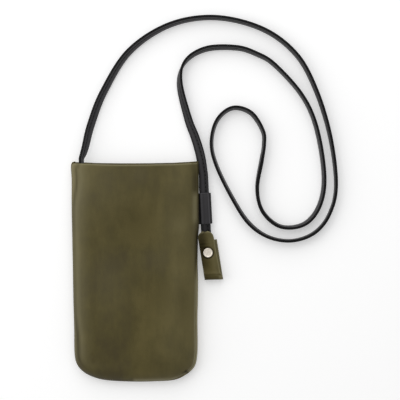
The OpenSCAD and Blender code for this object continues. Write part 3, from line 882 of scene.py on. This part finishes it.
BAG_HALF = 48.5
BAG_LOW = -89
BAG_CORNER = 17.5
BAG_MIDDLE_Z = 7.0
BAG_ROUND = 2.4
BAG_GAP = 0.2
BAG_INNER_X = 30
BAG_INNER_LOW = -68
LINING_TOP = 72
LINING_T = 0.5
FACING_HALF = 48
FACING_LOW = 63
FACING_T = 1.1
FACING_DROP = 0.5
# Room between facing and panel: where the lining lies between them, and above it
FACING_GAPS = (0.75, 0.12)
FACING_COLUMNS = 34
FACING_ROWS = 12
FACING_TURN = 6
FACING_SEAM_Y = 68
FACING_SEAM_HALF = 40
FACING_STITCHES = 18
ANCHOR_LOW = 74.5
ANCHOR_STEP = 4.2
ANCHOR_HALF = 2.4

dense_edge = through(silhouette, 2)


def front_underside(x, y):
    """Height of the inner face of the front panel."""
    inset = min(min(math.dist((x, y), p) for p in dense_edge), EDGE_RUN)
    return edge_arc(x, y, math.acos(1 - inset / EDGE_RUN))[1] - LEATHER_T


def bag_outline():
    """The inner bag's edge, from its top left round to its top right."""
    middle, low = BAG_HALF - BAG_CORNER, BAG_LOW + BAG_CORNER
    left = [(-BAG_HALF, mix(LINING_TOP, low, k / 10)) for k in range(10)]
    for k in range(9):
        angle = math.pi / 2 * k / 8
        left.append((-middle - BAG_CORNER * math.cos(angle), low - BAG_CORNER * math.sin(angle)))
    bottom = [(mix(-middle, middle, k / 8), BAG_LOW) for k in range(1, 8)]
    return left + bottom + [(-x, y) for x, y in reversed(left)]


def bag_height(x, y, front, gap, share):
    """Height of the bag's outer face: the middle of the bag at share 0, in full at 1."""
    full = front_underside(x, y) - gap if front else LEATHER_T + gap
    return mix(BAG_MIDDLE_Z, full, share)


def lining_half(name, node, front):
    """One half of the lining, rounded over to its seam."""
    cut = BAG_CORNER * (1 - math.sqrt(0.5))
    low = BAG_LOW + cut
    rim = ring_points(bag_outline(), (cut - BAG_HALF, low), (BAG_HALF - cut, low))
    grid = inner_points(BAG_INNER_X, BAG_INNER_LOW, lambda x: LINING_TOP)
    turns = [math.pi / 2 * k / 5 for k in range(6)]
    steps = [(BAG_ROUND * (1 - math.cos(a)), math.sin(a)) for a in turns] + [(5, 1), (9, 1), (14, 1)]

    def height(x, y, share=1):
        return bag_height(x, y, front, BAG_GAP, share)

    def edge_rows(i, place, way):
        return [(inset, height(*(Vector(place) + way * inset), share)) for inset, share in steps]

    mesh = sheet_mesh(rim, grid, edge_rows, height, front)
    leather_sheet(name, mesh, LINING_T, lining_cotton, node, 0)


def facing_place(column, row, table, front):
    """A point of a facing's outer face, which rounds over at both ends."""
    steps_in = min(column, FACING_COLUMNS - column)
    reach = FACING_HALF - BAG_ROUND
    x, share = mix(-reach, reach, (column - FACING_TURN) / (FACING_COLUMNS - 2 * FACING_TURN)), 1
    if steps_in < FACING_TURN:
        angle = math.pi / 2 * steps_in / FACING_TURN
        x, share = math.copysign(reach + BAG_ROUND * math.cos(angle), x), math.sin(angle)
    y = mix(mouth(table, x) - FACING_DROP, FACING_LOW, row / FACING_ROWS)
    gap = mix(*FACING_GAPS, ease(LINING_TOP, LINING_TOP + 6, y))
    return x, y, bag_height(x, y, front, gap, share)


def facing_half(name, node, table, front):
    """Facing from one side seam of the bag to the other, down from the mouth's edge."""
    places = [(c, r) for r in range(FACING_ROWS + 1) for c in range(FACING_COLUMNS + 1)]
    points = [facing_place(c, r, table, front) for c, r in places]
    faces = grid_faces(FACING_ROWS, FACING_COLUMNS)
    mesh = points, faces if front else turned_over(faces)
    leather_sheet(name, mesh, FACING_T, olive_facing, node)


def sewn_piece(name, node, places, size, material=olive_thread):
    """A piece made only of stitches."""
    piece = make_piece(name, *stitch_mesh(places, size), [material])
    face_outwards(piece)
    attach(piece, "pouch")
    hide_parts(node)
    return piece


def seam_places():
    """Places of the turned seam's stitches, at the bottom of its hollow."""
    places = []
    for i in range(2, RIM - 2):
        (x0, y0), (x, y), (x1, y1) = front_rim[i - 1 : i + 2]
        way = inwards_from(front_rim, front_grid, i)
        inset, z = seam_foot(i, x, y, 0.5, 0)
        inwards = edge_normal(x, y, seam_angle(i, y))
        out = -Vector((way.x * inwards.x, way.y * inwards.x, inwards.y))
        along = Vector((x1 - x0, y1 - y0, 0)).normalized()
        point = Vector((x + way.x * inset, y + way.y * inset, z))
        places.append((point, along, out.normalized()))
    return places


def facing_places():
    """Places of the stitches that join facings and linings, front and back."""
    places, y = [], FACING_SEAM_Y
    low = LEATHER_T + FACING_GAPS[0] + FACING_T
    for k in range(FACING_STITCHES):
        x = mix(-FACING_SEAM_HALF, FACING_SEAM_HALF, k / (FACING_STITCHES - 1))
        top = front_underside(x, y) - FACING_GAPS[0] - FACING_T
        places += [(Vector((x, y, top)), RIGHT, -UP), (Vector((x, y, low)), RIGHT, UP)]
    return places


lining_half("lining_front_half", "front_lining", True)
lining_half("lining_back_half", "back_lining", False)
facing_half("facing_front_half", "front_facing", FRONT_MOUTH, True)
facing_half("facing_back_half", "back_facing", BACK_MOUTH, False)
sewn_piece("seam_stitches", "side_seam_thread", seam_places(), SEAM_STITCH)
sewn_piece("facing_stitches", "facing_thread", facing_places(), BAG_STITCH)
anchor_x = ROOT_X + STRAP_T / 2 - 0.05
anchor_places = [
    (Vector((anchor_x, ANCHOR_LOW + ANCHOR_STEP * k, ROOT_Z + side * ANCHOR_HALF)), AHEAD, RIGHT)
    for k in range(4)
    for side in (-1, 1)
]
anchor_stitches = sewn_piece(
    "anchor_stitches", "anchor_thread", anchor_places, ANCHOR_STITCH, black_thread
)


# Side loop

LOOP_LOW = -13.9
LOOP_HIGH = 12.9
# Places of the rings along the loop, from its lower end to its upper one
LOOP_RINGS = [-1, -0.985, -0.955, -0.9, -0.72, -0.36, 0, 0.36, 0.72, 0.86, 0.9, 0.94, 0.975, 0.995, 1]
# The loop's outer face across the strap, and the two plies that run into the seam
LOOP_OUTER = [
    (-11, 6.5), (-8.4, 6.4), (-7.2, 5.9), (-6.2, 5.5), (-5.5, 5.5), (-5, 5.9), (-4.5, 6.45),
    (-3.6, 6.68), (-1.2, 6.72), (1.2, 6.74), (2.1, 6.82), (2.7, 6.72), (3.6, 6.35), (4.4, 5.7),
    (4.86, 4.9), (4.95, 4), (4.8, 3), (4.3, 2.1), (3.4, 1.66), (1.2, 1.6), (-1.2, 1.6), (-3.8, 1.66),
    (-4.9, 2.1), (-5.5, 3), (-5.9, 3.9), (-6.6, 4.35), (-8.2, 4.45), (-11, 4.45)
]
SLOT_W = 8.9
SLOT_T = 2.8
SLOT_R = 0.8
SLOT_SHIFT = -0.25


def slot_point(angle):
    """A point of the slot's rounded outline in a direction from its middle."""
    c, s = math.cos(angle), math.sin(angle)
    reach = 1 / max(abs(c) / (SLOT_W / 2), abs(s) / (SLOT_T / 2))
    x, z = c * reach, s * reach
    limit_x, limit_z = SLOT_W / 2 - SLOT_R, SLOT_T / 2 - SLOT_R
    if abs(x) > limit_x and abs(z) > limit_z:
        away = Vector((abs(x) - limit_x, abs(z) - limit_z)).normalized() * SLOT_R
        x = math.copysign(limit_x + away.x, x)
        z = math.copysign(limit_z + away.y, z)
    return x + SLOT_SHIFT, TAIL_Z + z


def make_loop():
    """Leather wrapped once round the strap, its two ends going into the seam."""
    outer = through(LOOP_OUTER + [LOOP_OUTER[0]], 3)[:-1]
    wide = len(outer)
    rings, wear_and_highlight = [], []
    for share in LOOP_RINGS:
        y = mix(LOOP_LOW, LOOP_HIGH, (share + 1) / 2)
        shrink = 0.35 * max(0, (abs(share) - 0.94) / 0.06) ** 2
        dent = 0.16 * bell(share, 0.9, 0.03) - 0.12 * bell(share, 0, 0.5)
        ring = []
        for x, z in outer:
            lift = (z - TAIL_Z) / 2.6
            height = z - shrink * lift - dent * max(lift, 0)
            ring.append(at(LOOP_FRAME, x - shrink * x / 9, y, height))
            # Painted highlight along the top's bends and middle, and paler ends
            ridge = bell(x, 2.6, 0.45) + 0.5 * bell(x, -3.4, 0.9) + 0.3 * bell(x, 0, 2)
            wear_and_highlight.append(min(ridge * (z > TAIL_Z) + 0.5 * bell(abs(share), 1, 0.03), 1))
        rings.append(ring)
    slot = [slot_point(math.atan2(z - TAIL_Z, x)) for x, z in outer]
    for y in (LOOP_LOW, 0, LOOP_HIGH):
        rings.append([at(LOOP_FRAME, x + TAIL_SHIFT, y, z) for x, z in slot])
    base = len(LOOP_RINGS) * wide
    faces = loft(rings[:-3], closed=False)
    faces += counted_from(base, turned_over(loft(rings[-3:], closed=False)))
    first, last = base - wide, base + 2 * wide
    for j in range(wide):
        k = (j + 1) % wide
        faces.append((j, k, base + k, base + j))
        faces.append((first + k, first + j, last + j, last + k))
    piece = make_piece("loop_sleeve", [p for ring in rings for p in ring], faces, [black_calf])
    face_outwards(piece)
    # Painted shade on the plies in the gap beside the pouch, and inside the slot
    shade = [0.85 * ease(-4.3, -5.2, x) for x, z in outer] * len(LOOP_RINGS)
    mark(piece, wear_and_highlight + [0] * (3 * wide), shade + [1] * (3 * wide))
    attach(piece, "pouch")
    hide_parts("side_loop")


make_loop()
loop_places = [
    (at(LOOP_FRAME, -9.3, v, 5.5 + side * 1.35), LOOP_FRAME.to_3x3() @ AHEAD, UP * side)
    for v in (-10.5, -5.2, 0, 5.2, 10.5)
    for side in (-1, 1)
]
sewn_piece("loop_stitches", "loop_thread", loop_places, BAG_STITCH)


# Tab

TAB_T = 1.3
FOLD_Y = -39.2
FOLD_Z = 4.8
FOLD_R = 2.55
BACK_END_Y = -8.4
BACK_TURN = math.radians(-1.3)
FOLD_HALF = 7.9
ARCH_HALF = 6.6
ARCH_R = 6.2
ARCH_POWER = 2.6
# How far the leather lies to the left of the line through the strap's end
TAB_SHIFT = -0.75
LEAF_SHIFT = -1.4
CAP_SHIFT = (-0.75, 0.25)
CAP_MIDDLE = (STUD_PLACE[0] + CAP_SHIFT[0], STUD_PLACE[1] + CAP_SHIFT[1])
TAB_COLUMNS = 28
TAB_STEP = 0.48
# The last rows of the front leaf, closer together round its arch
ARCH_ROWS = [-7.2, -6.2, -5.2, -4.2, -3.3, -2.5, -1.8, -1.2, -0.7, -0.35, -0.12]
TAB_BEVEL = {"segments": 2, "limit_method": "ANGLE", "angle_limit": math.radians(50)}


def front_span(y):
    """Left and right edges of the front leaf at a distance below its rounded end."""
    half = mix(ARCH_HALF, ARCH_HALF + 0.5, y / FOLD_Y)
    if y > -ARCH_R:
        half *= (1 - ((ARCH_R + y) / ARCH_R) ** ARCH_POWER) ** (1 / ARCH_POWER)
    near_fold = ease(FOLD_Y + 4, FOLD_Y, y)
    left = mix(LEAF_SHIFT - half, TAB_SHIFT - FOLD_HALF, near_fold)
    right = mix(LEAF_SHIFT + half, TAB_SHIFT + FOLD_HALF, near_fold)
    return left + 0.1 * ease(-20, -8, y), right + 0.25 * ease(-16, -6, y)


def tab_row(kind, value):
    """(point, paling, painted shade) across the tab at one place along its strip."""
    row = []
    for c in range(TAB_COLUMNS + 1):
        across = c / TAB_COLUMNS * 2 - 1
        x = TAB_SHIFT + across * FOLD_HALF
        rim = FOLD_HALF * (1 - abs(across))
        # Painted shade darkens the left of the tab, painted highlight pales the right
        shade = 0.64 * max(0.4 - across, 0)
        wear_and_highlight = 0.8 * ease(0.4, 0.75, across)
        if kind == "back":
            shade = 0
            dy = value - FOLD_Y
            y = FOLD_Y + math.cos(BACK_TURN) * dy
            x -= math.sin(BACK_TURN) * dy
            z = FOLD_Z - FOLD_R + 0.25 * ease(-18, BACK_END_Y, value) * across
        elif kind == "fold":
            y = FOLD_Y - FOLD_R * math.cos(value)
            z = FOLD_Z + FOLD_R * math.sin(value)
            # Painted shade on the fold
            shade = 0.6 * shade + 0.25
        else:
            left, right = front_span(value)
            x, y = mix(left, right, c / TAB_COLUMNS), value
            rim = (right - left) / 2 * (1 - abs(across))
            ring = math.dist((x, y), CAP_MIDDLE)
            ripple = math.sin(y * 2.3 + across * 0.9) * bell(y, -11, 3.4) * bell(across, -0.45, 0.75)
            z = FOLD_Z + FOLD_R - 0.4 * bell(ring, 4.9, 1.3)
            z += 0.25 * bell(y, -36.2, 1.3) - 0.3 * bell(y, -38, 0.7)
            z += 0.16 * ripple + 0.3 * ease(-6, 0, y) - 0.22 * abs(across) ** 4
            # Painted shade: to the left, in the dent round the cap, at the line above the fold, in the
            # ripples
            shade *= mix(1, 0.6, ease(-27, -36, y)) * mix(1, 0.8, ease(-9, -3, y))
            shade *= mix(1, 0.3, ease(-2.6, -0.8, value))
            shade += 0.85 * bell(ring, 4.7, 0.65) + 0.3 * bell(y, -38, 0.6)
            shade += 0.12 * ease(-37.6, -38.6, y) + 0.25 * max(ripple, 0)
            shade += 0.2 * bell(across, -0.5, 0.4) * bell(y, -12, 7)
            # Painted highlight: a band above the fold, the right side, and the arch's rim for rubbing and
            # highlight
            wear_and_highlight = 0.12 * bell(value, -36.2, 0.9) + 0.15 * ease(-0.1, 0.6, across)
            wear_and_highlight += 0.4 * ease(-1.8, -0.4, value)
        y -= (x - TAB_SHIFT) * 0.15 * ease(-22, -37, value if kind != "fold" else FOLD_Y)
        if kind == "front":
            y -= (x - LEAF_SHIFT) * 0.085 * ease(-14, -3, value)
            z += 2.4 * ease(0, -1, across) * ease(-16, -8.5, value)
        # Cut edges paled, for rubbing and painted highlight
        wear_and_highlight = PALEST_SHARE * min(wear_and_highlight + 0.75 * bell(rim, 0.3, 0.5), 1)
        row.append((at(TAB_FRAME, x, y, z), wear_and_highlight, min(shade, 1)))
    return row


def make_tab():
    """One strip of leather: back leaf, fold and rounded front leaf."""
    rows = [tab_row("back", mix(BACK_END_Y, FOLD_Y, k / 10)) for k in range(10)]
    rows += [tab_row("fold", math.pi * (k / 10 - 0.5)) for k in range(11)]
    rows += [tab_row("front", FOLD_Y + k * TAB_STEP) for k in range(1, 66)]
    rows += [tab_row("front", y) for y in ARCH_ROWS]
    points, wear_and_highlight, shade_and_marks = zip(*[spot for row in rows for spot in row])
    faces = [(a, d, c, b) for a, b, c, d in grid_faces(len(rows) - 1, TAB_COLUMNS)]
    piece = make_piece("tab_strip", points, faces, [olive_cowhide])
    mark(piece, wear_and_highlight, shade_and_marks)
    settle(piece, "SOLIDIFY", thickness=TAB_T * MM, offset=0, use_even_offset=True)
    settle(piece, "BEVEL", width=0.22 * MM, **TAB_BEVEL)
    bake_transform(piece)
    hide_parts("tab_back_leaf", "tab_fold", "tab_front_leaf")
    return piece


# Press stud's cap: radius and height of its turned profile, with its post below
CAP_PROFILE = [
    (0, 8.62), (1.5, 8.63), (2.55, 8.66), (2.95, 8.72), (3.18, 8.85), (3.42, 8.96), (3.65, 8.98),
    (3.88, 8.9), (4.04, 8.7), (4.09, 8.4), (4.03, 8.05), (3.85, 7.8), (3.5, 7.7), (0.45, 7.7),
    (0.45, 6.35), (0, 6.3)
]
CAP_STEPS = 72


def make_cap():
    """The cap, turned round the axis of the press stud."""
    place = STUD_FRAME @ Matrix.Translation((*CAP_SHIFT, 0))
    points, rings = [], []
    for r, z in CAP_PROFILE:
        count = CAP_STEPS if r else 1
        rings.append(range(len(points), len(points) + count))
        for k in range(count):
            angle = 2 * math.pi * k / CAP_STEPS
            points.append(at(place, r * math.cos(angle), r * math.sin(angle), z))
    faces = []
    for a, b in zip(rings, rings[1:]):
        for k in range(CAP_STEPS):
            n = (k + 1) % CAP_STEPS
            corners = [a[k % len(a)], b[k % len(b)], b[n % len(b)], a[n % len(a)]]
            faces.append(tuple(dict.fromkeys(corners)))
    piece = make_piece("cap_shell", points, faces, [cap_nickel])
    face_outwards(piece)
    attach(piece, "tab_flap")
    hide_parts("snap_cap")
    return piece


tab_strip = make_tab()
cap = make_cap()
for node in ("snap_socket", "snap_stud", "snap_eyelet", "snap_spring"):
    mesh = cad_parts[node].data
    mesh.materials.clear()
    mesh.materials.append(spring_steel if node == "snap_spring" else stud_nickel)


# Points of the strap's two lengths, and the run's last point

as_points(run_path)
tuple(run_path[-1])
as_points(lead_path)


# Floor, light and background

FLOOR_HALF = 3000
FLOOR_Z = -0.05
FLOOR_LIFT = 0.3
WORLD_LEVEL = 0.45
# Name, place, where it points, size and power of each lamp
LAMPS = [
    ("Window", (-1150, 250, 750), (20, 30, 0), 1500, 7.5),
    ("Skylight", (0, 1200, 1000), (50, 60, 0), 1600, 10)
]


def shown_as_background(tree):
    """1 for the camera's rays, and the reflected and refracted ones."""
    path = add(tree, "LightPath").outputs
    rays = {0: path["Is Camera Ray"], 1: path["Is Glossy Ray"]}
    seen = add(tree, "Math", "Value", rays, operation="MAXIMUM")
    rays = {0: seen, 1: path["Is Transmission Ray"]}
    return add(tree, "Math", "Value", rays, operation="MAXIMUM")


def lay_floor():
    """A plain white table top that keeps the object's soft shadow."""
    material, tree, place = new_material("White card table top")
    card = add(tree, "BsdfDiffuse", "BSDF", {"Color": ink("#F2F2F2")})
    glow = add(tree, "Emission", "Emission", {"Color": ink("#FFFFFF"), "Strength": FLOOR_LIFT})
    both = add(tree, "AddShader", "Shader", {0: card, 1: glow})
    shown = add(tree, "MixShader", "Shader", {0: shown_as_background(tree), 1: card, 2: both})
    add(tree, "OutputMaterial", inputs={"Surface": shown})
    sides = ((-1, -1), (1, -1), (1, 1), (-1, 1))
    corners = [(x * FLOOR_HALF, y * FLOOR_HALF, FLOOR_Z) for x, y in sides]
    make_piece("table_top", corners, [(0, 1, 2, 3)], [material])


def light_studio():
    """Soft daylight from the left, a broad lamp beyond the top and a pale room."""
    world = bpy.data.worlds.new("Pale room")
    world.use_nodes = True
    bpy.context.scene.world = world
    tree = world.node_tree
    tree.nodes.clear()
    room, white = [
        add(tree, "Background", "Background", {"Color": ink("#FFFFFF"), "Strength": level})
        for level in (WORLD_LEVEL, 1)
    ]
    mixed = add(tree, "MixShader", "Shader", {0: shown_as_background(tree), 1: room, 2: white})
    add(tree, "OutputWorld", inputs={"Surface": mixed})
    for name, place, aim, size, power in LAMPS:
        data = bpy.data.lights.new(name, "AREA")
        data.size = size * MM
        data.energy = power
        lamp = bpy.data.objects.new(name, data)
        lamp.location = Vector(place) * MM
        way = Vector(aim) - Vector(place)
        lamp.rotation_euler = way.to_track_quat("-Z", "Y").to_euler()
        bpy.context.scene.collection.objects.link(lamp)


lay_floor()
light_studio()
bpy.context.scene.view_settings.view_transform = "Standard"
